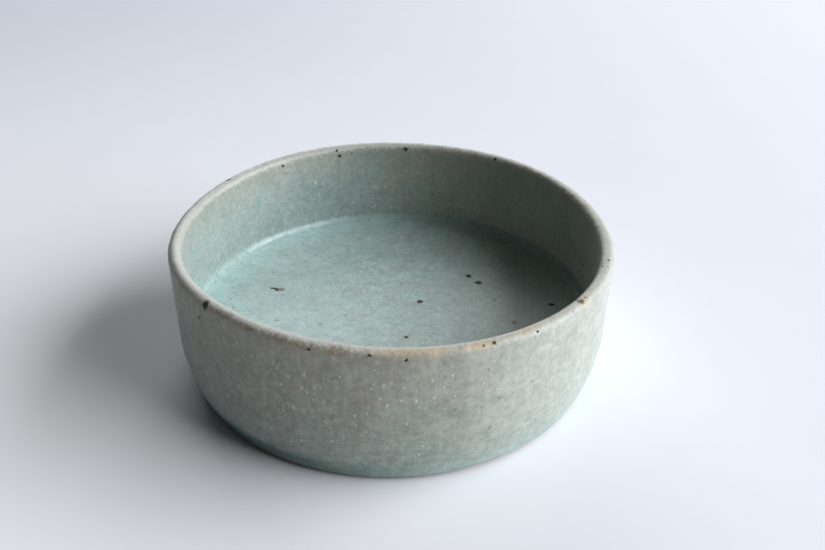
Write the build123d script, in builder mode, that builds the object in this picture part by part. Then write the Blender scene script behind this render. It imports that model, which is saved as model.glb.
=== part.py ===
"""Round stoneware suiban: a low, thick-walled water basin for flower arranging.

The vessel is one thrown and turned clay body, bare only on its foot and under its floor.
Two coats of glaze lie on it: a lining inside, which pools where the wall meets the floor,
and a coat outside, which ends in a thick roll just above the bare foot. The coats meet
on the crest of the lip.

Frame: +Z up, origin at the centre of the circle that the foot stands on. Millimetres.
"""

import os

from build123d import *

# Finished size, over the glaze
DIAMETER = 200.0  # across the lip, to its outer edge before that edge is rounded
HEIGHT = 69.5  # from the standing plane to the crest of the lip, at its highest

# Clay wall and lip
LIP_WALL = 5.0  # thickness of the wall at the lip
FLOOR_WALL = 4.0  # thickness of the wall where it meets the floor
LIP_ROUND = 2.3  # rounding of the clay lip's two edges
LIP_FLAT = 0.4  # least width left flat between them, on the crest
KNEE_HEIGHT = 28.0  # height at which the wall begins to curve in to the foot
KNEE_SETBACK = 0.9  # how far the wall has leaned in by that height

# Clay floor and foot
FLOOR_THICKNESS = 11.6
CORNER_ROUND = 2.5  # rounding inside, between wall and floor
FOOT_DIAMETER = 180.0  # outer edge of the standing ring
FOOT_RING = 6.5  # width of the standing ring
FOOT_BEVEL = 1.5  # turned bevel on the outer edge, where the glaze was wiped off
RECESS_DEPTH = 12.0  # turned out under the floor, inside the standing ring
RECESS_LEAN = 3.0  # how far the side of that recess leans in
RECESS_ROUND = 4.0  # rounding between its side and the floor's underside

# Glaze
OUTER_COAT = 0.6  # on the wall
LIP_COAT = 0.35  # on the lip, where glaze runs thin
ROLL_THICKNESS = 1.3  # of the roll in which the outer coat ends
ROLL_LENGTH = 1.5  # along the clay, from the roll's thickest place to its end
LINING = 0.6  # on the inner wall and the floor
POOL_ROUND = 4.0  # hollow surface of the pool along the foot of the inner wall


def at(radius, height):
    """A point of the turned section, by its distance from the axis and its height."""
    return Vector(radius, height)


# Rounding of the clay lip, as far as its wall allows
lip_round = min(LIP_ROUND, (LIP_WALL - LIP_FLAT) / 2)

# Corners of the clay section, from the recess under the floor round to the inside
lip_radius = DIAMETER / 2 - OUTER_COAT
lip_height = HEIGHT - LIP_COAT
floor_height = RECESS_DEPTH + FLOOR_THICKNESS
foot_radius = FOOT_DIAMETER / 2
foot_inner_radius = foot_radius - FOOT_RING
lean_at_floor = KNEE_SETBACK * (lip_height - floor_height) / (lip_height - KNEE_HEIGHT)

recess_centre = at(0, RECESS_DEPTH)
recess_corner = at(foot_inner_radius - RECESS_LEAN, RECESS_DEPTH)
foot_inner = at(foot_inner_radius, 0)
foot_outer = at(foot_radius, 0)
bevel_top = at(foot_radius + FOOT_BEVEL, FOOT_BEVEL)
knee = at(lip_radius - KNEE_SETBACK, KNEE_HEIGHT)
lip_outer = at(lip_radius, lip_height)
lip_inner = at(lip_radius - LIP_WALL, lip_height)
floor_corner = at(lip_radius - lean_at_floor - FLOOR_WALL, floor_height)
floor_centre = at(0, floor_height)

# Where the two coats meet, on the clay and on the glaze
clay_crest = at(lip_radius - LIP_WALL / 2, lip_height)
crest = at(clay_crest.X, HEIGHT)


def corner_nearest(sketch, point):
    """The corner of a section that lies at a point, to be rounded."""
    return sketch.vertices().sort_by_distance(point)[0]


# Half section of the clay, on the plane through the axis
with BuildSketch(Plane.XZ) as clay_section:
    with BuildLine():
        Polyline(recess_centre, recess_corner, foot_inner, foot_outer, bevel_top)
        belly = TangentArc(knee, bevel_top, tangent=knee - lip_outer)
        Polyline(knee, lip_outer, lip_inner, floor_corner, floor_centre, recess_centre)
    make_face()
    fillet(corner_nearest(clay_section, lip_outer), radius=lip_round)
    fillet(corner_nearest(clay_section, lip_inner), radius=lip_round)
    fillet(corner_nearest(clay_section, floor_corner), radius=CORNER_ROUND)
    fillet(corner_nearest(clay_section, recess_corner), radius=RECESS_ROUND)

# Thrown and turned clay: wall, floor and foot in one piece
with BuildPart() as stoneware_body:
    revolve(clay_section.sketch, axis=Axis.Z)
stoneware_body.part.label = "stoneware_body"

# Lining: from the crest down the inner wall, through the pool and across the floor
lining_lip = at(lip_inner.X - LINING, HEIGHT)
lining_corner = at(floor_corner.X - LINING, floor_height + LINING)
lining_centre = at(0, floor_height + LINING)

with BuildPart() as inner_glaze:
    with BuildSketch(Plane.XZ) as lining_section:
        with BuildLine():
            Polyline(crest, lining_lip, lining_corner, lining_centre)
            Polyline(lining_centre, floor_centre, floor_corner, lip_inner, clay_crest, crest)
        make_face()
        fillet(corner_nearest(lining_section, lining_lip), radius=lip_round + LINING)
        fillet(corner_nearest(lining_section, lip_inner), radius=lip_round)
        fillet(corner_nearest(lining_section, lining_corner), radius=POOL_ROUND)
        fillet(corner_nearest(lining_section, floor_corner), radius=CORNER_ROUND)
    revolve(axis=Axis.Z)
inner_glaze.part.label = "inner_glaze"

# Outer coat: from the crest down the wall and round the belly to the roll above the foot
belly_down = belly % 1
belly_outward = at(-belly_down.Y, belly_down.X)
coat_lip = at(lip_radius + OUTER_COAT, HEIGHT)
coat_knee = at(knee.X + OUTER_COAT, KNEE_HEIGHT)
roll_edge = bevel_top + belly_outward * ROLL_THICKNESS - belly_down * ROLL_LENGTH

with BuildPart() as outer_glaze:
    with BuildSketch(Plane.XZ) as coat_section:
        with BuildLine():
            Polyline(crest, coat_lip, coat_knee)
            coat_belly = TangentArc(coat_knee, roll_edge, tangent=knee - lip_outer)
            TangentArc(roll_edge, bevel_top, tangent=coat_belly % 1)
            TangentArc(knee, bevel_top, tangent=knee - lip_outer)
            Polyline(knee, lip_outer, clay_crest, crest)
        make_face()
        fillet(corner_nearest(coat_section, coat_lip), radius=lip_round + OUTER_COAT)
        fillet(corner_nearest(coat_section, lip_outer), radius=lip_round)
    revolve(axis=Axis.Z)
outer_glaze.part.label = "outer_glaze"

os.makedirs("parts", exist_ok=True)
for piece in (stoneware_body.part, inner_glaze.part, outer_glaze.part):
    export_step(piece, f"parts/{piece.label}.step")
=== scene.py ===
"""Looks of a round stoneware suiban: turned clay, two coats of celadon glaze and the grains in them.

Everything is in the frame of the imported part, +Z up from the standing plane. Sections and
surface details are written in millimetres and become metres when a mesh is made.
"""

import math

import bpy
import numpy as np
from mathutils import Matrix, Vector
from mathutils.bvhtree import BVHTree


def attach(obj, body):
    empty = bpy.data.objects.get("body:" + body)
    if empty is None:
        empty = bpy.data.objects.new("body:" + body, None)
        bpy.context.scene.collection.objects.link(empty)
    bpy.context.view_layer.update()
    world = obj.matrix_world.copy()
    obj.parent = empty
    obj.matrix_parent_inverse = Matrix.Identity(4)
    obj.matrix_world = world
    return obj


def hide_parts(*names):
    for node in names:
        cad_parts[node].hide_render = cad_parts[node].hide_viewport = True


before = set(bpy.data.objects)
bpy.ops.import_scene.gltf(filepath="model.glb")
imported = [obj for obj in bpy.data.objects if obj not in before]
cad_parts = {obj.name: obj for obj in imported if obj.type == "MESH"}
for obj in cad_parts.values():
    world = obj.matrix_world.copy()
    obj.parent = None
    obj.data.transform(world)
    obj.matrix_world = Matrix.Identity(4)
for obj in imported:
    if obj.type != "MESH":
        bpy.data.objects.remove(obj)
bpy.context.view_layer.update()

MM = 0.001
TURN = 2 * math.pi


# Camera, from a perspective fit of the outline in the 825 x 550 photograph: pixels, the sensor in mm,
# and distances in m from the origin, which it looks near
PICTURE_WIDTH = 825
PICTURE_HEIGHT = 550
FOCAL_PX = 940.0
SENSOR_WIDTH = 36.0
NEAR_CLIP = 0.01
VIEW_DISTANCE = 0.46041
VIEW_PITCH = math.radians(35.122)
VIEW_YAW = math.radians(-1.464)
VIEW_TILT = math.radians(4.504)
VIEW_ROLL = math.radians(0.028)


def camera_axes():
    """The camera's right, up and forward directions, and its place."""
    cosine, sine = math.cos(VIEW_PITCH), math.sin(VIEW_PITCH)
    place = Vector((0, -VIEW_DISTANCE * cosine, VIEW_DISTANCE * sine))
    yaw = Matrix.Rotation(VIEW_YAW, 3, "Z")
    right = yaw @ Vector((1, 0, 0))
    tilt = Matrix.Rotation(VIEW_TILT, 3, right)
    forward = tilt @ yaw @ Vector((0, cosine, -sine))
    up = right.cross(forward)
    roll = Matrix.Rotation(VIEW_ROLL, 3, forward)
    return roll @ right, roll @ up, forward, place


def make_camera():
    """The camera at the photograph's viewing angle."""
    right, up, forward, place = camera_axes()
    lens = bpy.data.cameras.new("camera")
    lens.sensor_fit = "HORIZONTAL"
    lens.sensor_width = SENSOR_WIDTH
    lens.lens = FOCAL_PX / PICTURE_WIDTH * SENSOR_WIDTH
    lens.clip_start = NEAR_CLIP
    camera = bpy.data.objects.new("camera", lens)
    camera.matrix_world = Matrix((right, up, -forward)).transposed().to_4x4()
    camera.location = place
    bpy.context.scene.collection.objects.link(camera)
    bpy.context.scene.camera = camera


def sight_line(u, v):
    """Place and direction of the ray through a point of the photograph."""
    right, up, forward, place = camera_axes()
    across = (u - PICTURE_WIDTH / 2) / FOCAL_PX
    upward = (PICTURE_HEIGHT / 2 - v) / FOCAL_PX
    return place, (forward + right * across + up * upward).normalized()


# Driving lengths in mm, as in the part's source
DIAMETER = 200.0
HEIGHT = 69.5
LIP_WALL = 5.0
FLOOR_WALL = 4.0
LIP_ROUND = 2.3
KNEE_HEIGHT = 28.0
KNEE_SETBACK = 0.9
FLOOR_THICKNESS = 11.6
CORNER_ROUND = 2.5
FOOT_DIAMETER = 180.0
FOOT_RING = 6.5
FOOT_BEVEL = 1.5
RECESS_DEPTH = 12.0
RECESS_LEAN = 3.0
RECESS_ROUND = 4.0
OUTER_COAT = 0.6
LIP_COAT = 0.35
ROLL_LENGTH = 1.5
LINING = 0.6
POOL_ROUND = 4.0

# Lengths in mm that differ here: the roll is a little thinner, and the foot's edges are worn round
ROLL_THICKNESS = 1.25
FOOT_EDGE_ROUND = 0.6

# Levels and radii that the corners share, the lean to a thousandth of a mm
RIM_RADIUS = DIAMETER / 2
LIP_RADIUS = RIM_RADIUS - OUTER_COAT
LIP_HEIGHT = HEIGHT - LIP_COAT
CREST_RADIUS = LIP_RADIUS - LIP_WALL / 2
FLOOR_HEIGHT = RECESS_DEPTH + FLOOR_THICKNESS
LINING_HEIGHT = FLOOR_HEIGHT + LINING
FLOOR_LEAN = round(KNEE_SETBACK * (LIP_HEIGHT - FLOOR_HEIGHT) / (LIP_HEIGHT - KNEE_HEIGHT), 3)
FOOT_RADIUS = FOOT_DIAMETER / 2


def at(radius, height):
    """A point of the turned section, by its distance from the axis and its height."""
    return np.array((radius, height), float)


# Corners of the clay
RECESS_CENTRE = at(0, RECESS_DEPTH)
RECESS_CORNER = at(FOOT_RADIUS - FOOT_RING - RECESS_LEAN, RECESS_DEPTH)
FOOT_INNER = at(FOOT_RADIUS - FOOT_RING, 0)
FOOT_OUTER = at(FOOT_RADIUS, 0)
BEVEL_TOP = at(FOOT_RADIUS + FOOT_BEVEL, FOOT_BEVEL)
KNEE = at(LIP_RADIUS - KNEE_SETBACK, KNEE_HEIGHT)
LIP_OUTER = at(LIP_RADIUS, LIP_HEIGHT)
LIP_INNER = at(LIP_RADIUS - LIP_WALL, LIP_HEIGHT)
FLOOR_CORNER = at(LIP_RADIUS - FLOOR_LEAN - FLOOR_WALL, FLOOR_HEIGHT)
FLOOR_CENTRE = at(0, FLOOR_HEIGHT)
CLAY_CREST = at(CREST_RADIUS, LIP_HEIGHT)

# Corners of the two glazes, which meet on the crest
CREST = at(CREST_RADIUS, HEIGHT)
COAT_LIP = at(RIM_RADIUS, HEIGHT)
COAT_KNEE = at(RIM_RADIUS - KNEE_SETBACK, KNEE_HEIGHT)
LINING_LIP = at(LIP_RADIUS - LIP_WALL - LINING, HEIGHT)
LINING_CORNER = at(FLOOR_CORNER[0] - LINING, LINING_HEIGHT)
LINING_CENTRE = at(0, LINING_HEIGHT)


def unit(vector):
    """A direction as a vector of length 1."""
    return vector / np.hypot(*vector)


def tangent_arc(start, end, heading, count):
    """Points from start to end on the circle that leaves start along heading."""
    heading = unit(heading)
    side = at(-heading[1], heading[0])
    chord = end - start
    centre = start + side * (chord @ chord) / (2 * side @ chord)
    sweep = 2 * math.atan2(side @ chord, heading @ chord)
    turns = np.linspace(0, sweep, count)
    spoke = start - centre
    across = at(-spoke[1], spoke[0])
    return centre + np.outer(np.cos(turns), spoke) + np.outer(np.sin(turns), across)


def rounded(before, corner, after, radius, count=9):
    """Points of the arc that rounds a corner, from the side of before to that of after."""
    a, b = unit(before - corner), unit(after - corner)
    reach = radius / math.tan(math.acos(a @ b) / 2)
    return tangent_arc(corner + a * reach, corner + b * reach, -a, count)


def joined(*runs):
    """Points and runs of points, one after the other, as one run."""
    return np.vstack([np.atleast_2d(run) for run in runs])


def lengths_along(run):
    """Length walked from the start of a run of points to each of them."""
    return np.concatenate([[0], np.cumsum(np.hypot(*np.diff(run, axis=0).T))])


def read_off(marks, along, pairs):
    """Pairs of values at some lengths, read between those at the lengths along a run."""
    return np.column_stack([np.interp(marks, along, pairs[:, k]) for k in (0, 1)])


def evenly(run, step):
    """A run of points walked again in equal steps of about that length."""
    along = lengths_along(run)
    marks = np.linspace(0, along[-1], max(2, round(along[-1] / step) + 1))
    return read_off(marks, along, run)


# How the hand-thrown rim wanders, in mm: waves per turn, cosine part, sine part. Its mean lies a
# little under the highest place, and the vessel is a little narrower, so both stay in the CAD box.
RIM_SINK = 2.05
RIM_HEIGHT_WAVES = ((1, -0.4, 0.0), (2, -0.6, 0.9), (3, 0.3, -0.1), (4, -0.4, 0.2))
RIM_WIDTH_WAVES = ((2, -0.2, -1.2), (3, -0.1, -0.4))
WIDTH_SHARE = 0.9922

# Lumps of the wall, in mm: waves per turn, twist in radians per mm of height, start in radians
LUMP = 0.10
LUMP_WAVES = ((7, 0.16, 0.0), (12, -0.11, 1.0))

# Throwing rings: share of a lump, radians per mm of height, sway in radians and its waves per turn
RING_SHARE = 0.5
RING_RISE = 0.85
RING_SWAY = 1.2
RING_SWAY_WAVES = 2

# Grit on the lip, in mm: height from which it grows, size, waves as for the rim
LIP_START = 64.0
LIP_GRIT = 0.04
LIP_GRIT_WAVES = ((37, -0.5, 0.7), (58, 0.6, -0.4), (91, 0.4, 0.5))


def waves(angle, parts):
    """Sum of waves round the vessel, each by its waves per turn, cosine part and sine part."""
    return sum(c * np.cos(k * angle) + s * np.sin(k * angle) for k, c, s in parts)


def share_up_to_rim(height, low):
    """Share of the way from a low height up to the rim, 0 below it."""
    return np.clip((height - low) / (HEIGHT - low), 0, 1)


def hand_thrown(angle, radius, height):
    """Where a point of the true section lies on the vessel, whose rim wanders in height and width."""
    rise = height / HEIGHT
    lumps = sum(np.sin(k * angle + twist * height + start) for k, twist, start in LUMP_WAVES)
    rings = RING_SHARE * np.sin(RING_RISE * height + RING_SWAY * np.sin(RING_SWAY_WAVES * angle))
    uneven = LUMP * (lumps + rings) * np.sin(math.pi * np.clip(rise, 0, 1)) ** 2
    sway = waves(angle, RIM_WIDTH_WAVES) * rise**2 + uneven
    wide = radius * WIDTH_SHARE + sway * radius / RIM_RADIUS
    lift = (waves(angle, RIM_HEIGHT_WAVES) - RIM_SINK) * share_up_to_rim(height, LINING_HEIGHT)
    grit = LIP_GRIT * waves(angle, LIP_GRIT_WAVES) * share_up_to_rim(height, LIP_START)
    return wide + grit, height + lift + grit


def turned(name, sections):
    """A closed mesh from one section per angle. Sections that start and end on the axis share
    their two end points, and others close on themselves."""
    count = len(sections)
    angles = np.arange(count)[:, None] * TURN / count
    radius, height = hand_thrown(angles, sections[..., 0], sections[..., 1])
    grid = np.stack([radius * np.cos(angles), radius * np.sin(angles), height], -1) * MM
    on_axis = sections[0, 0, 0] == 0
    rows = grid[:, 1:-1] if on_axis else grid
    depth = rows.shape[1]
    points = rows.reshape(-1, 3).tolist()
    faces = []
    for i in range(count):
        here, there = i * depth, (i + 1) % count * depth
        for j in range(depth - 1 if on_axis else depth):
            k = (j + 1) % depth
            faces.append((here + j, there + j, there + k, here + k))
    if on_axis:
        first, last = len(points), len(points) + 1
        points += [grid[0, 0].tolist(), grid[0, -1].tolist()]
        for i in range(count):
            here, there = i * depth, (i + 1) % count * depth
            faces.append((first, there, here))
            faces.append((last, here + depth - 1, there + depth - 1))
    piece = make_mesh(name, points, faces)
    keep_section(piece, sections, on_axis)
    return piece


def keep_section(piece, sections, on_axis):
    """Stores at each point where it lies on the true section, for the paints to read."""
    if on_axis:
        ends = sections[0, [0, -1]]
        places = np.vstack([sections[:, 1:-1].reshape(-1, 2), ends])
    else:
        places = sections.reshape(-1, 2)
    stored = piece.data.attributes.new("section", "FLOAT_VECTOR", "POINT")
    stored.data.foreach_set("vector", np.pad(places, ((0, 0), (0, 1))).ravel())


SHARP_ANGLE = math.radians(50)


def make_mesh(name, points, faces):
    """A smooth mesh, sharp only along edges that bend by more than SHARP_ANGLE."""
    mesh = bpy.data.meshes.new(name)
    mesh.from_pydata(points, [], faces)
    mesh.shade_smooth()
    mesh.set_sharp_from_angle(angle=SHARP_ANGLE)
    piece = bpy.data.objects.new(name, mesh)
    bpy.context.scene.collection.objects.link(piece)
    return piece


def same_all_round(section, count):
    """One section for each angle, all alike."""
    return np.repeat(section[None], count, axis=0)


# Fineness of the meshes: sections per turn, steps along a section in mm, points in a curve
CLAY_TURN_STEPS = 360
GLAZE_TURN_STEPS = 540
HIDDEN_STEP = 4.0
CLAY_WALL_STEP = 2.0
FOOT_STEP = 1.2
BELLY_STEP = 1.0
GLAZE_FLOOR_STEP = 2.2
GLAZE_WALL_STEP = 0.9
CREST_STEP = 0.5
FOOT_EDGE_POINTS = 5
GLAZE_LIP_POINTS = 13
POOL_POINTS = 17
BELLY_POINTS = 240

BELLY = tangent_arc(KNEE, BEVEL_TOP, KNEE - LIP_OUTER, BELLY_POINTS)


def clay_section():
    """From the middle of the recess under the floor, over the foot and lip, to the floor."""
    recess = rounded(RECESS_CENTRE, RECESS_CORNER, FOOT_INNER, RECESS_ROUND)
    inner_edge = rounded(RECESS_CORNER, FOOT_INNER, FOOT_OUTER, FOOT_EDGE_ROUND, FOOT_EDGE_POINTS)
    outer_edge = rounded(FOOT_INNER, FOOT_OUTER, BEVEL_TOP, FOOT_EDGE_ROUND, FOOT_EDGE_POINTS)
    lip = joined(
        rounded(KNEE, LIP_OUTER, LIP_INNER, LIP_ROUND),
        rounded(LIP_OUTER, LIP_INNER, FLOOR_CORNER, LIP_ROUND),
    )
    corner = rounded(LIP_INNER, FLOOR_CORNER, FLOOR_CENTRE, CORNER_ROUND)
    return joined(
        evenly(joined(RECESS_CENTRE, recess[0]), HIDDEN_STEP),
        recess[1:],
        evenly(joined(recess[-1], inner_edge[0]), FOOT_STEP)[1:],
        inner_edge[1:],
        outer_edge,
        evenly(BELLY[::-1], BELLY_STEP),
        evenly(joined(KNEE, lip[0]), CLAY_WALL_STEP)[1:-1],
        lip,
        evenly(joined(lip[-1], corner[0]), CLAY_WALL_STEP)[1:-1],
        corner,
        FLOOR_CENTRE,
    )


def lining_section():
    """From the middle of the floor, through the pool and up to the crest, and back under it."""
    pool = rounded(LINING_CENTRE, LINING_CORNER, LINING_LIP, POOL_ROUND, POOL_POINTS)
    lip = rounded(LINING_CORNER, LINING_LIP, CREST, LIP_ROUND + LINING, GLAZE_LIP_POINTS)
    clay_lip = rounded(CLAY_CREST, LIP_INNER, FLOOR_CORNER, LIP_ROUND)
    clay_corner = rounded(LIP_INNER, FLOOR_CORNER, FLOOR_CENTRE, CORNER_ROUND)
    return joined(
        evenly(joined(LINING_CENTRE, pool[0]), GLAZE_FLOOR_STEP),
        pool[1:],
        evenly(joined(pool[-1], lip[0]), GLAZE_WALL_STEP)[1:],
        lip[1:],
        evenly(joined(lip[-1], CREST), CREST_STEP)[1:],
        CLAY_CREST,
        clay_lip,
        evenly(joined(clay_lip[-1], clay_corner[0]), HIDDEN_STEP)[1:-1],
        clay_corner,
        FLOOR_CENTRE,
    )


# Lower edge of the outer coat: bare clay above the bevel in mm, then waves per turn, size and start
EDGE_RISE = 0.5
EDGE_WAVES = ((3, 0.3, 2.2), (5, 0.22, 0.4), (13, 0.1, 0.0))

# One place where more clay shows: its angle and half width in radians, and the further rise in mm
BARE_ANGLE = 0.815 * TURN
BARE_WIDTH = 0.13
BARE_RISE = 1.5

# Points down the belly: even ones for a share of it, then ones that crowd towards the coat's end
EVEN_SHARE = 0.9
EVEN_POINTS = 34
CROWDED_POINTS = 18
CROWDING = 1.8
BACK_POINTS = 12

# The roll: least share of its thickness, two waves per turn that swell it, the start of the first in
# radians, and the power by which the coat thickens towards it
ROLL_LEAST = 0.8
ROLL_WAVES = (4, 9)
ROLL_START = 1.0
ROLL_GROWTH = 3


def glaze_line(angle):
    """How far up the clay the outer coat stops above the foot's bevel, in mm."""
    edge = EDGE_RISE + sum(size * np.sin(k * angle + start) for k, size, start in EDGE_WAVES)
    return edge + BARE_RISE * np.exp(-(((angle - BARE_ANGLE) / BARE_WIDTH) ** 2))


def roll_share(angle):
    """Share of the roll's full thickness at an angle, where it swells and thins."""
    slow, quick = ROLL_WAVES
    swell = 0.5 + 0.5 * math.sin(slow * angle + ROLL_START) * math.sin(quick * angle)
    return ROLL_LEAST + (1 - ROLL_LEAST) * swell


def coat_sections(count):
    """The outer coat at each angle: down from the crest to its roll, and back along the clay."""
    lip = rounded(CREST, COAT_LIP, COAT_KNEE, LIP_ROUND + OUTER_COAT, GLAZE_LIP_POINTS)
    wall = joined(
        evenly(joined(CREST, lip[0]), CREST_STEP),
        lip[1:],
        evenly(joined(lip[-1], COAT_KNEE), GLAZE_WALL_STEP)[1:],
    )
    clay_lip = rounded(KNEE, LIP_OUTER, CLAY_CREST, LIP_ROUND)
    clay_wall = joined(evenly(joined(KNEE, clay_lip[0]), HIDDEN_STEP), clay_lip[1:], CLAY_CREST)

    along = lengths_along(BELLY)
    slope = np.gradient(BELLY, axis=0)
    outward = np.column_stack([-slope[:, 1], slope[:, 0]]) / np.hypot(*slope.T)[:, None]
    even = np.linspace(0, EVEN_SHARE, EVEN_POINTS)[1:]
    crowded = 1 - (1 - EVEN_SHARE) * np.linspace(1, 0, CROWDED_POINTS)[1:] ** CROWDING
    shares = np.concatenate([even, crowded])
    back_shares = np.linspace(1, 0, BACK_POINTS)[1:-1]

    sections = []
    for angle in np.arange(count) * TURN / count:
        end = along[-1] - glaze_line(angle)
        marks = shares * end
        thick = OUTER_COAT + (ROLL_THICKNESS - OUTER_COAT) * roll_share(angle) * shares**ROLL_GROWTH
        closing = np.clip((end - marks) / ROLL_LENGTH, 0, 1)
        thick = thick * np.sqrt(1 - (1 - closing) ** 2)
        front = read_off(marks, along, BELLY) + read_off(marks, along, outward) * thick[:, None]
        back = read_off(back_shares * end, along, BELLY)
        sections.append(joined(wall, front, back, clay_wall))
    return np.array(sections)


def make_vessel():
    """The clay and its two glazes, each as one closed mesh."""
    clay = turned("thrown_clay", same_all_round(clay_section(), CLAY_TURN_STEPS))
    lining = turned("pooled_lining", same_all_round(lining_section(), GLAZE_TURN_STEPS))
    coat = turned("run_coat", coat_sections(GLAZE_TURN_STEPS))
    return clay, lining, coat


clay, lining, coat = make_vessel()


def tree_of(piece):
    """A search tree of a piece's faces, to cast rays at."""
    mesh = piece.data
    return BVHTree.FromPolygons([v.co for v in mesh.vertices], [p.vertices for p in mesh.polygons])


LINING_TREE, COAT_TREE = tree_of(lining), tree_of(coat)


# A mark just off the outline is looked for further in, towards a pixel inside the vessel
MIDDLE_U = 390
MIDDLE_V = 300
INWARD_SHARE = 0.05
INWARD_STEPS = 11


def seen_at(u, v):
    """Point of the glaze under a point of the photograph, or under the nearest one inward of it."""
    for step in np.linspace(0, INWARD_SHARE, INWARD_STEPS):
        inward = (u + (MIDDLE_U - u) * step, v + (MIDDLE_V - v) * step)
        place, direction = sight_line(*inward)
        hits = [tree.ray_cast(place, direction) for tree in (LINING_TREE, COAT_TREE)]
        hits = [hit for hit in hits if hit[0]]
        if hits:
            return min(hits, key=lambda hit: hit[3])[0]


# Radius inside which the floor is flat, in mm, and how far a mark is felt, in its half sizes
FLAT_FLOOR = 89.0
MARK_REACH = 2.5

# Range that nearly all of a noise lies in
NOISE_LOW = 0.3
NOISE_HIGH = 0.7

# How few of the scattered dots are large, and how wide their soft edge is beside the largest
DOT_RARITY = 4.0
DOT_EDGE = 0.3

# Specular level of plain glass or clay, and the share of it that is lost on iron
GLOSS = 0.5
IRON_MATT = 0.85


class Paint:
    """One node material. Its calls add nodes and return sockets; lengths are in mm."""

    def __init__(self, name):
        self.material = bpy.data.materials.new(name)
        self.material.use_nodes = True
        self.tree = self.material.node_tree
        self.shader = self.tree.nodes["Principled BSDF"]
        coords = self.add("TexCoord").outputs["Object"]
        self.place = self.vector("MULTIPLY", coords, (1 / MM,) * 3)
        section = self.add("Attribute", attribute_name="section").outputs["Vector"]
        split = self.add("SeparateXYZ", {0: section})
        self.radius, self.height = split.outputs["X"], split.outputs["Y"]
        self.across = self.add("SeparateXYZ", {0: self.place}).outputs["X"]

    def add(self, kind, inputs=None, **settings):
        """A new node with some settings, and with sockets or values fed to some inputs."""
        node = self.tree.nodes.new("ShaderNode" + kind)
        for key, value in settings.items():
            setattr(node, key, value)
        for key, value in (inputs or {}).items():
            self.feed(node.inputs[key], value)
        return node

    def feed(self, socket, value):
        """Links a socket to an input, or sets a plain value on it."""
        if isinstance(value, bpy.types.NodeSocket):
            self.tree.links.new(value, socket)
        elif socket.type == "RGBA":
            socket.default_value = (*value, 1)
        else:
            socket.default_value = value

    def math(self, operation, a, b):
        return self.add("Math", {0: a, 1: b}, operation=operation).outputs[0]

    def plus(self, a, b):
        return self.math("ADD", a, b)

    def times(self, a, b):
        return self.math("MULTIPLY", a, b)

    def minus(self, a, b):
        return self.math("SUBTRACT", a, b)

    def less(self, a):
        """One minus a share."""
        return self.minus(1.0, a)

    def vector(self, operation, a, b):
        return self.add("VectorMath", {0: a, 1: b}, operation=operation).outputs[0]

    def stretched(self, x, y, z):
        """The place, scaled by its own factor along each axis."""
        return self.vector("MULTIPLY", self.place, (x, y, z))

    def noise(self, size, detail=2.0, roughness=0.5, place=None):
        """A noise of that grain size, mostly near 0.5."""
        place = place or self.place
        values = {"Vector": place, "Scale": 1 / size, "Detail": detail, "Roughness": roughness}
        return self.add("TexNoise", values).outputs[0]

    def broken(self, size, reach):
        """The place, shifted by up to about reach in a noise of that size, to break edges."""
        values = {"Vector": self.place, "Scale": 1 / size, "Detail": 2.0}
        shift = self.vector("SUBTRACT", self.add("TexNoise", values).outputs[1], (0.5, 0.5, 0.5))
        return self.vector("ADD", self.place, self.vector("MULTIPLY", shift, (2 * reach,) * 3))

    def dots(self, spacing, largest, place=None):
        """Scattered round dots, up to that radius in cells of that spacing, most of them small."""
        cells = self.add("TexVoronoi", {"Vector": place or self.place, "Scale": 1 / spacing})
        chance = self.add("SeparateColor", {0: cells.outputs["Color"]}).outputs[0]
        largest = largest / spacing
        reach = self.times(self.math("POWER", chance, DOT_RARITY), largest)
        outside = self.minus(cells.outputs["Distance"], reach)
        return self.fade(outside, 0.0, -DOT_EDGE * largest)

    def fade(self, value, start, end):
        """A share that rises smoothly from 0 at start to 1 at end."""
        values = {"Value": value, "From Min": start, "From Max": end}
        return self.add("MapRange", values, interpolation_type="SMOOTHSTEP").outputs[0]

    def mix(self, share, a, b):
        """Colour a where a share is 0, and b where it is 1."""
        return self.add("Mix", {0: share, 4: a, 5: b}, data_type="VECTOR").outputs[1]

    def over(self, colour, laid, share, strength):
        """A colour with another laid over it, by a share times a strength."""
        return self.mix(self.times(share, strength), colour, laid)

    def shaded(self, colour, noise, depth):
        """A colour darker and lighter by up to that depth, as a noise goes through its range."""
        values = {"Value": noise, "From Min": NOISE_LOW, "From Max": NOISE_HIGH}
        scale = self.add("MapRange", {**values, "To Min": 1 - depth, "To Max": 1 + depth}).outputs[0]
        return self.add("VectorMath", {0: colour, "Scale": scale}, operation="SCALE").outputs[0]

    def marks(self, vector, rows):
        """Distance to the nearest of some marks, in half sizes of that mark and up to MARK_REACH of
        them. A row is a pixel of the photograph and two half sizes in mm: across the picture or round
        the wall, and the other way."""
        nearest = 0.0
        for u, v, across, along in rows:
            point = seen_at(u, v) / MM
            turn = math.atan2(point.y, point.x) + math.pi / 2 if point.xy.length > FLAT_FLOOR else 0.0
            values = {
                "Vector": vector,
                "Location": point,
                "Rotation": (0, 0, turn),
                "Scale": Vector((across, along, along)) * MARK_REACH,
            }
            inside = self.add("Mapping", values, vector_type="TEXTURE").outputs[0]
            nearness = self.add("TexGradient", {0: inside}, gradient_type="SPHERICAL").outputs["Fac"]
            nearest = self.math("MAXIMUM", nearest, nearness)
        return self.times(self.less(nearest), MARK_REACH)

    def finish(self, colour, roughness, relief, gloss=GLOSS):
        """Colour, roughness and gloss all over, and relief as a height in mm."""
        self.feed(self.shader.inputs["Base Color"], colour)
        self.feed(self.shader.inputs["Roughness"], roughness)
        self.feed(self.shader.inputs["Specular IOR Level"], gloss)
        bump = self.add("Bump", {"Height": relief, "Distance": MM})
        self.feed(self.shader.inputs["Normal"], bump.outputs[0])
        return self.material


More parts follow.
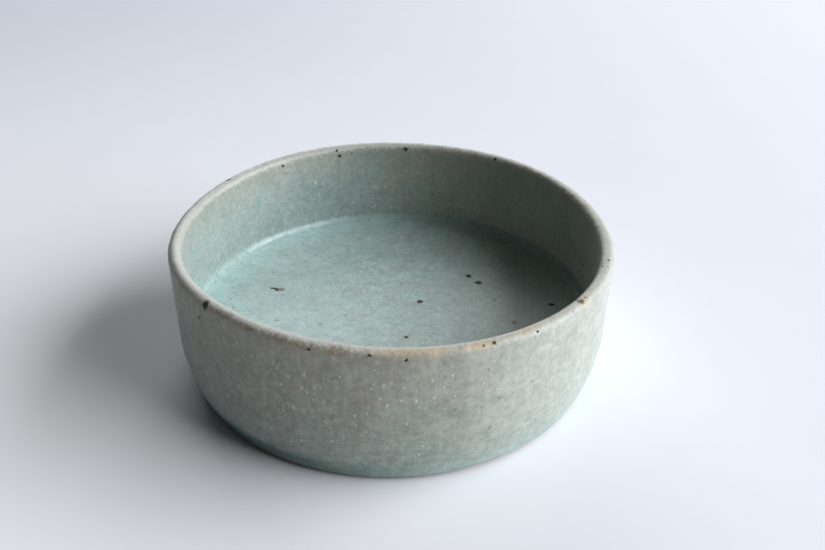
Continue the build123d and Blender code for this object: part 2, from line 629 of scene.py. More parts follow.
# Marks seen in the photograph: pixel, then half sizes in mm
FLOOR_IRON = [
    (273.6, 288.4, 1.5, 0.7), (276.8, 289.5, 0.9, 0.9), (420, 301.5, 1.3, 1.2),
    (468.5, 276, 1.4, 1.5), (478.5, 282.7, 1.6, 1.5), (551.5, 304.5, 1.4, 1.2),
    (406.3, 337.2, 0.9, 1.0),
]
FLOOR_RUST = [
    (280, 289.5, 2.6, 1.8), (420, 301.5, 1.6, 1.8), (514.5, 322.5, 1.3, 1.8),
]
FLOOR_FAINT = [
    (270.6, 287.2, 0.9, 0.7), (345.6, 315.2, 1.0, 1.1), (320, 324, 1.1, 1.4),
    (233.3, 307.5, 1.0, 1.0), (276.8, 320.3, 1.7, 1.0), (494.4, 299.9, 1.5, 1.9),
    (316, 309.8, 0.8, 0.9), (358, 304, 0.8, 0.9), (369.4, 328.8, 0.8, 0.9),
    (386.3, 318.2, 0.8, 0.9), (294, 297, 0.7, 0.8), (387, 282, 0.7, 0.8),
    (407.6, 269.8, 1.0, 1.1), (411.6, 261.3, 0.9, 1.0), (361, 261.8, 0.9, 0.9),
    (368, 259.6, 0.8, 0.8), (357, 267.6, 0.8, 0.8), (348.2, 249.3, 0.9, 0.9),
    (447.2, 235.4, 0.9, 1.0), (460.4, 253.2, 0.9, 1.0), (499.7, 288.2, 0.9, 1.0),
    (433, 333, 0.7, 0.8), (433.3, 194.3, 1.0, 1.0), (494, 199.4, 0.9, 1.2),
    (481, 180.3, 1.2, 0.7), (320.6, 186.6, 0.9, 1.0), (223.5, 194.3, 0.9, 0.8),
    (588, 226.8, 0.6, 1.3),
]
# Painted highlight: pale marks along the cove where the key light is reflected, which widen that
# reflection
COVE_PAINTED_HIGHLIGHT = [
    (256, 246.5, 5.0, 1.5), (267, 240.5, 5.0, 1.5), (280, 235, 6.0, 1.4),
    (294, 231.3, 6.0, 1.8), (306, 228.3, 6.0, 1.8), (317, 225.3, 5.0, 1.6),
]
WALL_DRIPS = [
    (338.5, 168, 1.0, 9.0), (352, 172, 0.8, 8.0), (433, 180, 0.9, 9.0),
    (468, 172, 1.2, 8.0),
]
LIP_IRON = [
    (205, 305.2, 1.5, 1.9), (199, 317.5, 0.7, 0.8), (228.7, 179.6, 1.5, 0.9),
    (283, 166.1, 0.7, 0.7), (336.8, 150.3, 0.7, 0.7), (339.4, 156.1, 0.8, 0.8),
    (351.5, 153.5, 0.5, 0.5), (405.4, 149.2, 1.1, 0.9), (495.3, 159.4, 0.9, 0.7),
    (494.5, 343, 0.8, 0.8), (484, 345.5, 0.6, 0.5), (608.9, 260.3, 0.5, 0.5),
    (602.4, 266.4, 0.5, 0.5),
]
LIP_OCHRE = [
    (405, 351, 12.0, 2.0), (437, 351.5, 5.5, 2.0), (481, 345, 8.0, 2.0),
    (524, 330.5, 6.0, 1.8), (584, 300.5, 3.2, 3.4),
]
LIP_RUST = [
    (579.6, 300.8, 1.6, 2.1), (585.2, 297.4, 0.6, 0.6),
]
LIP_BROWN = [
    (226, 315, 5.0, 1.7), (249, 328, 4.0, 1.4), (277, 338.5, 4.5, 1.8),
    (337, 350.5, 4.2, 2.6), (303, 346, 5.0, 1.2),
]
WALL_IRON = [
    (308.4, 349.5, 0.8, 0.6), (369.6, 355.7, 0.6, 0.6), (406.6, 360.6, 0.6, 0.7),
    (537.8, 332, 0.6, 0.5),
]
WALL_FAINT = [
    (451.2, 357.5, 0.8, 0.8), (444.2, 363.4, 0.8, 0.9), (535.4, 337.2, 0.8, 0.8),
    (333, 378.9, 0.9, 0.9), (330.8, 418.6, 0.9, 0.8), (444.9, 376.5, 0.9, 0.9),
    (454.3, 410.1, 1.6, 0.9), (482, 407.3, 0.7, 1.0), (499.6, 398.2, 1.0, 1.2),
    (489, 369.7, 0.7, 0.9), (489.8, 427.7, 0.9, 1.2), (532.6, 381.1, 1.3, 0.8),
    (573.5, 312, 0.7, 0.8),
]
WALL_SCARS = [
    (471, 454, 2.2, 0.6), (535, 435.8, 1.6, 1.2),
]

# Colours of the lip, of marks and of grain in the glazes, with a painted highlight for the cove and
# painted shade for the lip's far left
CREAM = (0.37, 0.385, 0.36)
CREAM_PAINTED_SHADE = (0.25, 0.268, 0.248)
OUTER_CREAM = (0.50, 0.505, 0.465)
PALE_CREAM = (0.42, 0.43, 0.385)
OCHRE = (0.45, 0.365, 0.225)
BROWN = (0.23, 0.165, 0.11)
WARM = (0.335, 0.31, 0.265)
IRON = (0.03, 0.024, 0.018)
RUST = (0.15, 0.085, 0.05)
OLIVE = (0.125, 0.115, 0.085)
UMBER = (0.055, 0.03, 0.017)
PAINTED_HIGHLIGHT = (0.50, 0.62, 0.665)
SCAR = (0.40, 0.30, 0.25)
SHADE = (0.14, 0.16, 0.14)
PALE_GRAIN = (0.50, 0.52, 0.49)

# Colours of the lining on the floor, on the wall and in the cove between them, with painted light,
# painted shade and a painted shadow of the wall among them
FLOOR_GREEN = (0.315, 0.455, 0.425)
FLOOR_BLUE = (0.36, 0.455, 0.462)
FLOOR_LIT = (0.43, 0.565, 0.55)
FLOOR_POOL = (0.41, 0.595, 0.585)
FLOOR_RIGHT_SHADE = (0.325, 0.385, 0.342)
FLOOR_WALL_SHADOW = (0.14, 0.18, 0.157)
WALL_GREEN = (0.255, 0.33, 0.32)
WALL_GREY = (0.27, 0.325, 0.312)
THIN_LEFT = (0.307, 0.303, 0.272)
THIN_RIGHT_SHADE = (0.213, 0.224, 0.195)
WALL_TOASTED = (0.32, 0.28, 0.21)
WALL_LOW = (0.37, 0.355, 0.285)
COVE_LEFT = (0.26, 0.36, 0.345)
COVE_RIGHT_SHADE = (0.085, 0.13, 0.115)

# Colours of the outer coat, with painted shade on its left and on the roll's pool at the left
COAT_LOWER = (0.265, 0.312, 0.288)
COAT_UPPER = (0.325, 0.314, 0.278)
COAT_GREEN = (0.265, 0.325, 0.295)
COAT_PALE = (0.385, 0.43, 0.402)
COAT_LEFT_SHADE = (0.19, 0.21, 0.192)
FOOT_GREEN = (0.30, 0.425, 0.395)
FOOT_POOL_AND_SHADE = (0.045, 0.105, 0.088)

# Colours of the bare clay, with a dark bevel that is partly painted contact shade, and of feldspar
CLAY_DARK = (0.30, 0.21, 0.15)
CLAY_PALE = (0.38, 0.27, 0.20)
CLAY_FLASHED = (0.26, 0.13, 0.08)
CLAY_BEVEL_AND_SHADE = (0.09, 0.06, 0.045)
FELDSPAR_GREY = (0.38, 0.40, 0.375)
FELDSPAR_WHITE = (0.445, 0.46, 0.432)

# Ranges in mm over which a colour sets in on the lip, by height, by radius or by place across
STAIN_HEIGHTS = (65.6, 68.0)
CREAM_HEIGHTS = (66.9, 68.5)
CREAM_RADII = (99.9, 98.6)
OUTER_CREAM_RADII = (96.4, 98.4)
LIP_RIGHTWARD = (-40.0, 60.0)
LIP_SHADE_ACROSS = (-97.0, -75.0)
GRIT_HEIGHTS = (65.0, 67.5)

# The same for the lining
WALL_HEIGHTS = (25.0, 28.4)
LIT_ACROSS = (20.0, -52.0)
POOL_RADII = (74.0, 90.0)
RIGHT_SHADE_ACROSS = (-40.0, 70.0)
WALL_SHADOW_RADII = (76.0, 92.0)
WALL_SHADOW_ACROSS = (-20.0, 25.0)
DARKEST_SHADOW_ACROSS = (50.0, 90.0)
THIN_HEIGHTS = (46.0, 68.0)
THIN_SHADE_ACROSS = (-60.0, 0.0)
TOASTED_ACROSS = (-25.0, 50.0)
LOW_HEIGHTS = (52.0, 29.0)
LOW_ACROSS = (10.0, 60.0)
COVE_RADII = (89.8, 92.2)
COVE_HEIGHTS = (29.5, 26.5)
WET_ACROSS = (-82.0, -66.0)

# The same for the outer coat and the clay
UPPER_HEIGHTS = (16.0, 58.0)
TURNED_HEIGHTS = (18.0, 48.0)
PALE_ACROSS = (0.0, 60.0)
LEFT_SHADE_ACROSS = (10.0, -80.0)
FOOT_HEIGHTS = (15.0, 6.0)
FOOT_SHADE_ACROSS = (25.0, -55.0)
FLASH_RADII = (84.0, 90.0)
BEVEL_SHADE_RADII = (89.5, 90.5)
BEVEL_SHADE_HEIGHTS = (5.0, 2.5)

# Middle of a noise, over which one cloudy colour turns into another
CLOUD_MIDDLE = (0.35, 0.65)

# How far in mm the edges of some of these ranges wander with a noise
CHIP_WANDER = 5.0
CREAM_WANDER = 4.5
WALL_WANDER = 6.0
POOL_WANDER = 24.0
THIN_WANDER = 26.0
ACROSS_WANDER = 40.0
UPPER_WANDER = 60.0
FOOT_WANDER = 8.0

# Sizes in mm of the noises that the glazes share, and of the clouds in feldspar
GRAIN_SIZE = 1.1
MOTTLE_SIZE = 3.2
BROAD_SIZE = 13.0
CLOUD_SIZE = 9.0
WORN_SIZE = 6.0
CHIP_SIZE = 1.5
FELDSPAR_SIZE = 1.5

# Shift in mm that keeps the freckles of the coat off its other dots
FRECKLE_SHIFT = (7.0, 3.0, 5.0)

# Roughness: least of each surface, what its clouds or grain add, and what cove and pools add or take
LINING_ROUGHNESS = 0.34
COAT_ROUGHNESS = 0.40
CLAY_ROUGHNESS = 0.72
FELDSPAR_ROUGHNESS = 0.5
CLOUD_ROUGHNESS = 0.2
COVE_DULLNESS = 0.3
WET_POLISH = 0.05
POOL_POLISH = 0.16

# Relief in mm
LINING_GRAIN = 0.02
LINING_CLOUDS = 0.12
LINING_PITS = 0.04
COVE_BEADS = 0.06
COAT_GRAIN = 0.006
COAT_CLOUDS = 0.06
COAT_STREAKS = 0.016
COAT_SPECKS = 0.012
CLAY_GRAIN = 0.08
CLAY_RINGS = 0.12
LIP_RELIEF = 0.35
FINE_RELIEF = 0.02


def broken_up(paint, colour, grain, mottle):
    """A glaze colour with the grain, mottling and broad clouds that clay grit gives it."""
    colour = paint.shaded(colour, paint.noise(GRAIN_SIZE), depth=grain)
    colour = paint.shaded(colour, paint.noise(MOTTLE_SIZE), depth=mottle)
    colour = paint.shaded(colour, paint.noise(BROAD_SIZE), depth=0.07)
    pale = paint.dots(spacing=3.0, largest=1.1)
    return paint.over(colour, PALE_GRAIN, pale, strength=0.4)


def lip_stained(paint, colour):
    """A glaze colour with the lip on it: pale where it runs thin, flecked, ochre and brown in places,
    with painted shade on its outer side at the far left.
    """
    worn = paint.noise(WORN_SIZE)
    fine_chip = paint.noise(CHIP_SIZE, detail=3.0, roughness=0.65)
    chip = paint.minus(paint.plus(fine_chip, paint.times(worn, 0.6)), 0.8)
    lip = paint.fade(paint.plus(paint.height, paint.times(chip, CHIP_WANDER)), *STAIN_HEIGHTS)
    rightward = paint.fade(paint.across, *LIP_RIGHTWARD)
    top = paint.minus(paint.plus(paint.height, paint.times(chip, CREAM_WANDER)), rightward)
    crest = paint.fade(top, *CREAM_HEIGHTS)
    inward = paint.fade(paint.plus(paint.radius, paint.times(chip, CHIP_WANDER)), *CREAM_RADII)
    toasted = paint.times(paint.fade(worn, 0.3, 0.65), paint.less(rightward))
    colour = paint.mix(paint.times(paint.times(lip, toasted), paint.less(inward)), colour, WARM)
    pale = paint.times(paint.times(crest, inward), paint.plus(0.6, worn))
    # Painted shade: the lip's outer side darker at the far left, where it faces away from the light
    outer_cream_and_shade = paint.mix(paint.fade(paint.across, *LIP_SHADE_ACROSS), CREAM_PAINTED_SHADE, OUTER_CREAM)
    cream = paint.mix(paint.fade(paint.radius, *OUTER_CREAM_RADII), CREAM, outer_cream_and_shade)
    colour = paint.mix(pale, colour, paint.mix(rightward, cream, PALE_CREAM))
    flecks = paint.times(paint.dots(spacing=1.9, largest=0.9), lip)
    colour = paint.over(colour, BROWN, flecks, strength=0.4)
    return lip_marked(paint, colour)


def lip_marked(paint, colour):
    """The lip's colour with the ochre, brown and rust that the photograph shows on it."""
    soft_place = paint.broken(size=2.4, reach=1.6)
    patchy = paint.fade(paint.noise(size=1.7, detail=3.0, roughness=0.65), 0.25, 0.65)
    ochre = paint.times(paint.fade(paint.marks(soft_place, LIP_OCHRE), 1.6, 0.2), patchy)
    colour = paint.mix(ochre, colour, OCHRE)
    brown = paint.times(paint.fade(paint.marks(soft_place, LIP_BROWN), 1.5, 0.3), patchy)
    colour = paint.over(colour, BROWN, brown, strength=0.8)
    rust = paint.fade(paint.marks(paint.broken(size=1.3, reach=0.9), LIP_RUST), 1.3, 0.6)
    return paint.over(colour, UMBER, rust, strength=0.9)


def iron_specked(paint, colour, iron_rows, faint_rows):
    """A glaze colour with black iron specks, their brown edges and fainter marks. Also their share."""
    place = paint.broken(size=1.3, reach=0.7)
    faint = paint.fade(paint.marks(place, faint_rows), 1.3, 0.4)
    colour = paint.over(colour, SHADE, faint, strength=0.5)
    distance = paint.marks(place, iron_rows)
    colour = paint.over(colour, RUST, paint.fade(distance, 1.8, 1.0), strength=0.4)
    iron = paint.fade(distance, 1.25, 0.75)
    return paint.over(colour, IRON, iron, strength=0.92), iron


def matt_on(paint, iron):
    """Gloss of the glaze, less where iron has burnt through it."""
    return paint.times(paint.less(paint.times(iron, IRON_MATT)), GLOSS)


def lip_relief(paint):
    """Height in mm of the grit that stands through the thin glaze of the lip."""
    lip = paint.fade(paint.height, *GRIT_HEIGHTS)
    return paint.times(paint.times(paint.noise(size=2.0, detail=3.0, roughness=0.6), LIP_RELIEF), lip)


def lining_floor(paint, cloud, uneven, rightward, right_shade):
    """Colour of the floor: paler at its left as painted light, turquoise in its pool, and greyer and
    darker at its right as painted shade and a painted shadow of the wall.
    """
    colour = paint.mix(paint.fade(cloud, *CLOUD_MIDDLE), FLOOR_GREEN, FLOOR_BLUE)
    colour = paint.shaded(colour, paint.noise(size=4.0), depth=0.10)
    colour = paint.shaded(colour, paint.noise(size=1.9), depth=0.15)
    # Painted light: the floor paler towards its left, where the key light falls past the right wall
    lit_left = paint.fade(rightward, *LIT_ACROSS)
    colour = paint.over(colour, FLOOR_LIT, lit_left, strength=0.65)
    edge = paint.plus(paint.radius, paint.times(uneven, POOL_WANDER))
    pool = paint.fade(edge, *POOL_RADII)
    colour = paint.over(colour, FLOOR_POOL, pool, strength=0.7)
    # Painted shade: the floor greyer and darker towards its right
    colour = paint.over(colour, FLOOR_RIGHT_SHADE, right_shade, strength=0.6)
    # Painted shadow of the right wall: the floor darker along its rim at the right and over its right end
    shadow_by_wall = paint.times(paint.fade(edge, *WALL_SHADOW_RADII), paint.fade(rightward, *WALL_SHADOW_ACROSS))
    shadow_at_right = paint.times(paint.fade(rightward, *DARKEST_SHADOW_ACROSS), 0.8)
    wall_shadow = paint.math("MAXIMUM", shadow_by_wall, shadow_at_right)
    return paint.over(colour, FLOOR_WALL_SHADOW, wall_shadow, strength=0.48)


def lining_wall(paint, cloud, rightward):
    """Colour of the inner wall: streaked, thin near the lip and there darker at the right as painted
    shade, toasted at its right, with brown drips.
    """
    streak = paint.noise(size=2.6, detail=3.0, place=paint.stretched(1, 1, 0.16))
    colour = paint.mix(paint.fade(cloud, *CLOUD_MIDDLE), WALL_GREEN, WALL_GREY)
    colour = paint.shaded(colour, streak, depth=0.045)
    streaky = paint.minus(streak, 0.5)
    upper = paint.plus(paint.height, paint.times(streaky, THIN_WANDER))
    thin = paint.fade(upper, *THIN_HEIGHTS)
    # Painted shade: the thin glaze near the lip darker towards the right, the inner wall's shaded side
    bare = paint.mix(paint.fade(paint.across, *THIN_SHADE_ACROSS), THIN_LEFT, THIN_RIGHT_SHADE)
    colour = paint.over(colour, bare, thin, strength=0.6)
    toasted = paint.fade(rightward, *TOASTED_ACROSS)
    colour = paint.over(colour, WALL_TOASTED, toasted, strength=0.6)
    low = paint.times(paint.fade(paint.height, *LOW_HEIGHTS), paint.fade(rightward, *LOW_ACROSS))
    colour = paint.over(colour, WALL_LOW, low, strength=0.6)
    drips = paint.fade(paint.marks(paint.broken(size=2.4, reach=1.6), WALL_DRIPS), 1.4, 0.2)
    return paint.over(colour, BROWN, drips, strength=0.35)


def lining_paint():
    """The inner glaze: floor, wall and the cove of pooled glass between them."""
    paint = Paint("lining_glaze_look")
    cloud = paint.noise(CLOUD_SIZE, detail=3.0)
    uneven = paint.minus(cloud, 0.5)
    ragged = paint.minus(paint.noise(size=3.0), 0.5)
    wall = paint.fade(paint.plus(paint.height, paint.times(ragged, WALL_WANDER)), *WALL_HEIGHTS)
    rightward = paint.plus(paint.across, paint.times(uneven, ACROSS_WANDER))
    # A share that rises towards the right, where shade is painted on floor and cove; it also keeps the
    # cove's polish off that side
    right_shade = paint.fade(rightward, *RIGHT_SHADE_ACROSS)
    floor_colour = lining_floor(paint, cloud, uneven, rightward, right_shade)
    colour = paint.mix(wall, floor_colour, lining_wall(paint, cloud, rightward))

    cove = paint.times(paint.fade(paint.radius, *COVE_RADII), paint.fade(paint.height, *COVE_HEIGHTS))
    # The cove's pooled glaze, darker at the right as painted shade
    cove_glaze_and_shade = paint.mix(right_shade, COVE_LEFT, COVE_RIGHT_SHADE)
    colour = paint.over(colour, cove_glaze_and_shade, cove, strength=0.7)
    beaded = paint.fade(paint.noise(size=1.4, detail=3.0, roughness=0.65), 0.2, 0.6)
    # Painted highlight: the cove paler along the strip where the key light is reflected
    highlight_share = paint.fade(paint.marks(paint.broken(size=2.0, reach=0.5), COVE_PAINTED_HIGHLIGHT), 1.5, 0.5)
    colour = paint.over(colour, PAINTED_HIGHLIGHT, paint.times(highlight_share, beaded), strength=0.5)

    colour = lip_stained(paint, broken_up(paint, colour, grain=0.11, mottle=0.08))
    pits = paint.dots(spacing=2.5, largest=0.8)
    colour = paint.over(colour, SHADE, pits, strength=0.5)
    rust = paint.fade(paint.marks(paint.broken(size=1.3, reach=0.7), FLOOR_RUST), 1.25, 0.6)
    colour = paint.over(colour, OLIVE, rust, strength=0.75)
    colour, iron = iron_specked(paint, colour, FLOOR_IRON + LIP_IRON, FLOOR_FAINT)

    wet = paint.times(paint.times(cove, paint.fade(paint.across, *WET_ACROSS)), paint.less(right_shade))
    dull = paint.times(paint.minus(cove, wet), COVE_DULLNESS)
    roughness = paint.plus(paint.plus(LINING_ROUGHNESS, paint.times(cloud, CLOUD_ROUGHNESS)), dull)
    roughness = paint.minus(roughness, paint.times(wet, WET_POLISH))
    fine = paint.times(paint.noise(GRAIN_SIZE), LINING_GRAIN)
    relief = paint.plus(fine, paint.times(cloud, LINING_CLOUDS))
    relief = paint.minus(relief, paint.times(paint.plus(pits, iron), LINING_PITS))
    relief = paint.plus(relief, paint.times(paint.times(beaded, wet), COVE_BEADS))
    return paint.finish(colour, roughness, paint.plus(relief, lip_relief(paint)), matt_on(paint, iron))


def coat_paint():
    """The outer glaze: streaked, greener below, paler at the right, darker at the left as painted shade,
    with a dark pool of thick glaze above the foot that is laid at the left and is partly painted shade.
    """
    paint = Paint("coat_glaze_look")
    cloud = paint.noise(CLOUD_SIZE, detail=3.0)
    uneven = paint.minus(cloud, 0.5)
    streak = paint.noise(size=1.7, detail=3.0, place=paint.stretched(1, 1, 0.14))
    turning = paint.noise(size=1.3, detail=3.0, place=paint.stretched(0.14, 0.14, 1))
    upper = paint.fade(paint.plus(paint.height, paint.times(uneven, UPPER_WANDER)), *UPPER_HEIGHTS)

    colour = paint.mix(upper, COAT_LOWER, COAT_UPPER)
    greener = paint.fade(paint.noise(size=5.0), NOISE_LOW, NOISE_HIGH)
    colour = paint.over(colour, COAT_GREEN, greener, strength=0.35)
    colour = paint.shaded(colour, streak, depth=0.09)
    lower = paint.less(paint.fade(paint.height, *TURNED_HEIGHTS))
    turned_marks = paint.plus(0.5, paint.times(paint.minus(turning, 0.5), lower))
    colour = paint.shaded(colour, turned_marks, depth=0.09)
    paler = paint.fade(paint.plus(paint.across, paint.times(uneven, ACROSS_WANDER)), *PALE_ACROSS)
    colour = paint.over(colour, COAT_PALE, paler, strength=0.8)
    # Painted shade: the coat darker towards its left, the side away from the key light
    left_shade = paint.fade(paint.across, *LEFT_SHADE_ACROSS)
    colour = paint.over(colour, COAT_LEFT_SHADE, left_shade, strength=0.38)

    near_foot = paint.plus(paint.height, paint.times(uneven, FOOT_WANDER))
    foot = paint.fade(near_foot, *FOOT_HEIGHTS)
    colour = paint.over(colour, FOOT_GREEN, foot, strength=0.55)
    # The thick glaze of the roll, dark green and glossier, laid at the left, where its darkness is partly
    # painted shade
    pool = paint.times(foot, paint.fade(paint.across, *FOOT_SHADE_ACROSS))
    colour = paint.mix(pool, colour, FOOT_POOL_AND_SHADE)

    colour = lip_stained(paint, broken_up(paint, colour, grain=0.08, mottle=0.13))
    freckle_place = paint.vector("ADD", paint.place, FRECKLE_SHIFT)
    freckles = paint.dots(spacing=2.1, largest=0.95, place=freckle_place)
    colour = paint.over(colour, PALE_GRAIN, freckles, strength=0.4)
    pits = paint.dots(spacing=3.0, largest=0.9)
    colour = paint.over(colour, SHADE, pits, strength=0.22)
    scars = paint.fade(paint.marks(paint.broken(size=1.3, reach=0.7), WALL_SCARS), 1.3, 0.5)
    colour = paint.over(colour, SCAR, scars, strength=0.7)
    colour, iron = iron_specked(paint, colour, LIP_IRON + WALL_IRON, WALL_FAINT)

    roughness = paint.plus(COAT_ROUGHNESS, paint.times(cloud, CLOUD_ROUGHNESS))
    roughness = paint.minus(roughness, paint.times(pool, POOL_POLISH))
    fine = paint.times(paint.noise(GRAIN_SIZE), COAT_GRAIN)
    relief = paint.plus(fine, paint.times(cloud, COAT_CLOUDS))
    relief = paint.plus(relief, paint.times(paint.plus(streak, turned_marks), COAT_STREAKS))
    relief = paint.minus(relief, paint.times(iron, COAT_SPECKS))
    return paint.finish(colour, roughness, paint.plus(relief, lip_relief(paint)), matt_on(paint, iron))


def clay_paint():
    """The bare clay: turned rings, iron specks, flashing from the kiln, and a dark bevel above the foot
    that is partly painted contact shade.
    """
    paint = Paint("bare_stoneware_look")
    cloud = paint.noise(size=12.0, detail=3.0)
    grain = paint.noise(size=0.7, detail=3.0, roughness=0.7)
    ring_place = paint.add("CombineXYZ", {0: paint.radius, 1: paint.height}).outputs[0]
    rings = paint.noise(size=0.9, place=ring_place)
    colour = paint.mix(paint.fade(cloud, *CLOUD_MIDDLE), CLAY_DARK, CLAY_PALE)
    flash = paint.times(paint.fade(paint.radius, *FLASH_RADII), paint.fade(cloud, 0.3, 0.6))
    colour = paint.over(colour, CLAY_FLASHED, flash, strength=0.6)
    # Dark brown clay at the foot's bevel, darkened further as painted contact shade where the vessel
    # meets the floor
    low = paint.fade(paint.height, *BEVEL_SHADE_HEIGHTS)
    bevel_and_shade = paint.times(paint.fade(paint.radius, *BEVEL_SHADE_RADII), low)
    colour = paint.over(colour, CLAY_BEVEL_AND_SHADE, bevel_and_shade, strength=0.8)
    colour = paint.shaded(colour, grain, depth=0.2)
    colour = paint.shaded(colour, rings, depth=0.08)
    specks = paint.dots(spacing=4.0, largest=0.6)
    colour = paint.over(colour, IRON, specks, strength=0.8)

    roughness = paint.plus(CLAY_ROUGHNESS, paint.times(grain, CLOUD_ROUGHNESS))
    relief = paint.plus(paint.times(grain, CLAY_GRAIN), paint.times(rings, CLAY_RINGS))
    return paint.finish(colour, roughness, relief)


def feldspar_paint():
    """The pale, dull grains that stand out of the glaze."""
    paint = Paint("feldspar_look")
    cloud = paint.noise(FELDSPAR_SIZE)
    colour = paint.mix(paint.fade(cloud, NOISE_LOW, NOISE_HIGH), FELDSPAR_GREY, FELDSPAR_WHITE)
    roughness = paint.plus(FELDSPAR_ROUGHNESS, paint.times(cloud, CLOUD_ROUGHNESS))
    return paint.finish(colour, roughness, paint.times(cloud, FINE_RELIEF))


# Scattered feldspar grains: how many, the heights where they lie, least half size and spread, in mm,
# and the beta laws of the outer heights and of all sizes
OUTER_GRAINS = 500
OUTER_GRAINS_LOW = 6
OUTER_GRAINS_SPAN = 56
INNER_GRAINS = 60
INNER_GRAINS_LOW = 28
INNER_GRAINS_HIGH = 62
LEAST_GRAIN = 0.26
GRAIN_SPREAD = 0.66
HEIGHT_LAW = (2.0, 2.0)
SIZE_LAW = (1.2, 3.4)
GRAIN_SEED = 7

# A place outside the vessel, in m from its axis, from which the outer wall is looked for
OUTSIDE = 0.2

# Form of a grain in half sizes: reach and lift of its rings of points, top and root; then how uneven
# and how long or short it may be
GRAIN_SIDES = 8
GRAIN_RINGS = ((1.25, -0.03), (0.95, 0.018), (0.5, 0.03))
GRAIN_TOP = 0.035
GRAIN_ROOT = 0.5
GRAIN_UNEVEN = 0.28
GRAIN_LONG = (0.75, 1.25)

# Larger grains picked out in the photograph: pixel, then half size in mm
SEEN_GRAINS = [
    (303, 375, 0.9), (306, 392, 0.7), (314, 388, 0.6), (281, 384, 0.7), (277, 368, 0.6),
    (237, 343, 0.6), (374, 370, 0.6), (383, 386, 0.8), (386, 406, 0.8), (400, 401, 0.7),
    (403, 388, 0.6), (415, 401, 0.8), (433, 398, 0.8), (443, 388, 0.7), (432, 381, 0.6),
    (452, 376, 0.7), (406, 424, 0.6), (424, 434, 0.6), (422, 446, 0.6), (357, 458, 0.6),
    (493, 428, 0.6), (499, 439, 0.5), (484, 384, 0.5), (494, 362, 0.5), (508, 358, 0.6),
    (507, 369, 0.7), (516, 382, 0.7), (545, 355, 0.5), (547, 379, 0.5),
]


def grain_places(seed):
    """Places, normals and half sizes of the feldspar grains that stand out of the glaze."""
    draw = np.random.default_rng(seed)
    outer_heights = draw.beta(*HEIGHT_LAW, OUTER_GRAINS) * OUTER_GRAINS_SPAN + OUTER_GRAINS_LOW
    inner_heights = draw.uniform(INNER_GRAINS_LOW, INNER_GRAINS_HIGH, INNER_GRAINS)
    grains = []
    for k, height in enumerate((*outer_heights, *inner_heights)):
        angle = draw.uniform(0, TURN)
        size = LEAST_GRAIN + GRAIN_SPREAD * draw.beta(*SIZE_LAW)
        out = Vector((math.cos(angle), math.sin(angle), 0))
        centre = Vector((0, 0, height * MM))
        if k < OUTER_GRAINS:
            hit = COAT_TREE.ray_cast(centre + out * OUTSIDE, -out)
        else:
            hit = LINING_TREE.ray_cast(centre, out)
        grains.append((*hit[:2], size))
    for u, v, size in SEEN_GRAINS:
        grains.append((*COAT_TREE.ray_cast(*sight_line(u, v))[:2], size))
    return grains


def add_grain(points, faces, draw, place, normal, size):
    """Adds an uneven dome, sunk into the glaze at a place, to a mesh's points and faces."""
    first = normal.orthogonal().normalized()
    second = normal.cross(first)
    start = len(points)
    uneven = 1 + draw.uniform(-GRAIN_UNEVEN, GRAIN_UNEVEN, GRAIN_SIDES)
    long = draw.uniform(*GRAIN_LONG)
    for reach, lift in GRAIN_RINGS:
        for i in range(GRAIN_SIDES):
            angle = TURN * i / GRAIN_SIDES
            radius = size * reach * uneven[i] * MM
            spot = first * (radius * math.cos(angle) * long) + second * (radius * math.sin(angle) / long)
            points.append(tuple(place + spot + normal * (lift * size * MM)))
    last = len(points) - GRAIN_SIDES
    top, root = len(points), len(points) + 1
    points.append(tuple(place + normal * (GRAIN_TOP * size * MM)))
    points.append(tuple(place - normal * (GRAIN_ROOT * size * MM)))
    for i in range(GRAIN_SIDES):
        j = (i + 1) % GRAIN_SIDES
        for low in range(start, last, GRAIN_SIDES):
            high = low + GRAIN_SIDES
            faces.append((low + i, low + j, high + j, high + i))
        faces.append((last + i, last + j, top))
        faces.append((start + j, start + i, root))


def make_grains():
    """All grains as one mesh."""
    draw = np.random.default_rng(GRAIN_SEED + 1)
    points, faces = [], []
    for place, normal, size in grain_places(GRAIN_SEED):
        add_grain(points, faces, draw, place, normal, size)
    return make_mesh("feldspar_grains", points, faces)


def dress(piece, material, node=None):
    """Gives a piece its paint and body, and hides the CAD node that it stands for."""
    piece.data.materials.append(material)
    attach(piece, "root")
    if node:
        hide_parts(node)


grains = make_grains()
dress(clay, clay_paint(), "stoneware_body")
dress(lining, lining_paint(), "inner_glaze")
dress(coat, coat_paint(), "outer_glaze")
dress(grains, feldspar_paint())


# Pale floor: half its side in m, its seen colours, which paint light and shade on it, darker far away and
# at the near right, the ranges in mm over which they change across and away from the camera, and its
# colour for the light that it sends back
FLOOR_REACH = 3.0
NEAR_LEFT = (0.94, 0.96, 1.0)
NEAR_RIGHT = (0.75, 0.775, 0.86)
FAR_LEFT = (0.64, 0.68, 0.78)
FAR_RIGHT = (0.74, 0.775, 0.86)
FLOOR_ACROSS = (-300.0, 300.0)
FLOOR_AWAY = (-150.0, 700.0)
FLOOR_BOUNCE = (0.84, 0.85, 0.86)
FLOOR_ROUGHNESS = 0.8
FLOOR_CLOUD = 60.0

# A large soft light from the right and a weaker one from behind: degrees, metres and watts
KEY = {"azimuth": -8, "elevation": 28, "distance": 3.3, "width": 4.2, "tall": 2.7, "power": 244.0}
BACK = {"azimuth": 97, "elevation": 25, "distance": 4.0, "width": 3.0, "tall": 2.8, "power": 66.0}

# A faint sky, and the backdrop that is seen in its place
SKY_COLOUR = (0.92, 0.95, 1.0)
SKY_STRENGTH = 0.018
BACKDROP = (0.52, 0.54, 0.57)


def looked_at(tree):
    """A share that is 1 for rays from the camera and for those that gloss or glass sends on."""
    path = tree.nodes.new("ShaderNodeLightPath")
    share = path.outputs["Is Camera Ray"]
    for ray in ("Is Glossy Ray", "Is Transmission Ray"):
        either = tree.nodes.new("ShaderNodeMath")
        either.operation = "MAXIMUM"
        tree.links.new(share, either.inputs[0])
        tree.links.new(path.outputs[ray], either.inputs[1])
        share = either.outputs[0]
    return share


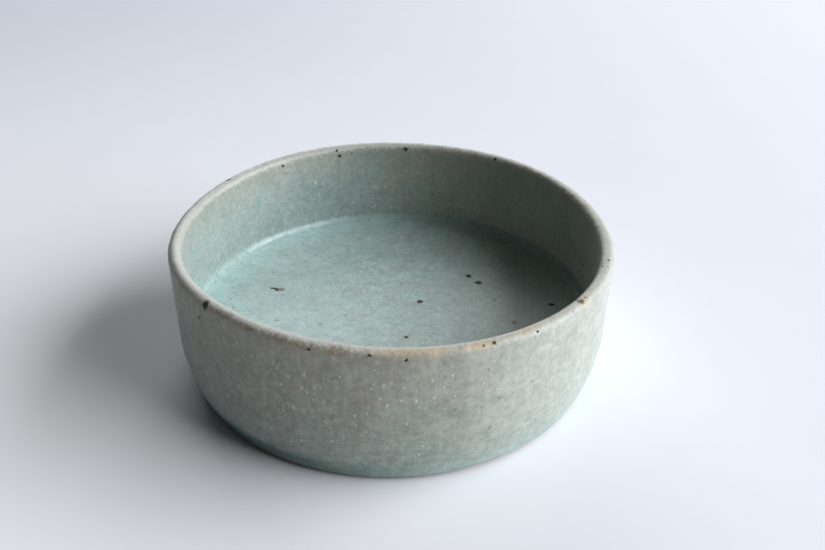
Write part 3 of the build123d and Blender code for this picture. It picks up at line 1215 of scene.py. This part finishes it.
def make_floor():
    """A plain pale floor, whose seen colour changes a little across and from near to far as painted light
    and shade.
    """
    edge = FLOOR_REACH
    points = [(-edge, -edge, 0), (edge, -edge, 0), (edge, edge, 0), (-edge, edge, 0)]
    floor = make_mesh("floor", points, [(0, 1, 2, 3)])
    paint = Paint("floor_look")
    cloud = paint.noise(FLOOR_CLOUD)
    seen = looked_at(paint.tree)
    away = paint.add("SeparateXYZ", {0: paint.place}).outputs["Y"]
    rightward = paint.fade(paint.across, *FLOOR_ACROSS)
    near = paint.mix(rightward, NEAR_LEFT, NEAR_RIGHT)
    far = paint.mix(rightward, FAR_LEFT, FAR_RIGHT)
    colour = paint.mix(paint.fade(away, *FLOOR_AWAY), near, far)
    colour = paint.mix(seen, FLOOR_BOUNCE, paint.shaded(colour, cloud, depth=0.005))
    floor.data.materials.append(paint.finish(colour, FLOOR_ROUGHNESS, paint.times(cloud, FINE_RELIEF)))


def make_panel(name, azimuth, elevation, distance, width, tall, power):
    """A rectangular soft light that faces the vessel."""
    lamp = bpy.data.lights.new(name, "AREA")
    lamp.shape = "RECTANGLE"
    lamp.size, lamp.size_y = width, tall
    lamp.energy = power
    panel = bpy.data.objects.new(name, lamp)
    turn, lift = math.radians(azimuth), math.radians(elevation)
    level = math.cos(lift)
    towards = Vector((level * math.cos(turn), level * math.sin(turn), math.sin(lift)))
    panel.location = towards * distance
    panel.rotation_euler = (-towards).to_track_quat("-Z", "Y").to_euler()
    bpy.context.scene.collection.objects.link(panel)


def make_lights():
    """Two panels, a faint sky and the backdrop that the camera sees."""
    make_panel("key", **KEY)
    make_panel("back", **BACK)
    world = bpy.data.worlds.new("world")
    world.use_nodes = True
    nodes, links = world.node_tree.nodes, world.node_tree.links
    sky = nodes["Background"]
    sky.inputs["Color"].default_value = (*SKY_COLOUR, 1)
    sky.inputs["Strength"].default_value = SKY_STRENGTH
    backdrop = nodes.new("ShaderNodeBackground")
    backdrop.inputs["Color"].default_value = (*BACKDROP, 1)
    choice = nodes.new("ShaderNodeMixShader")
    links.new(looked_at(world.node_tree), choice.inputs[0])
    links.new(sky.outputs[0], choice.inputs[1])
    links.new(backdrop.outputs[0], choice.inputs[2])
    links.new(choice.outputs[0], nodes["World Output"].inputs["Surface"])
    bpy.context.scene.world = world


make_floor()
make_lights()
make_camera()
bpy.context.scene.view_settings.view_transform = "Standard"
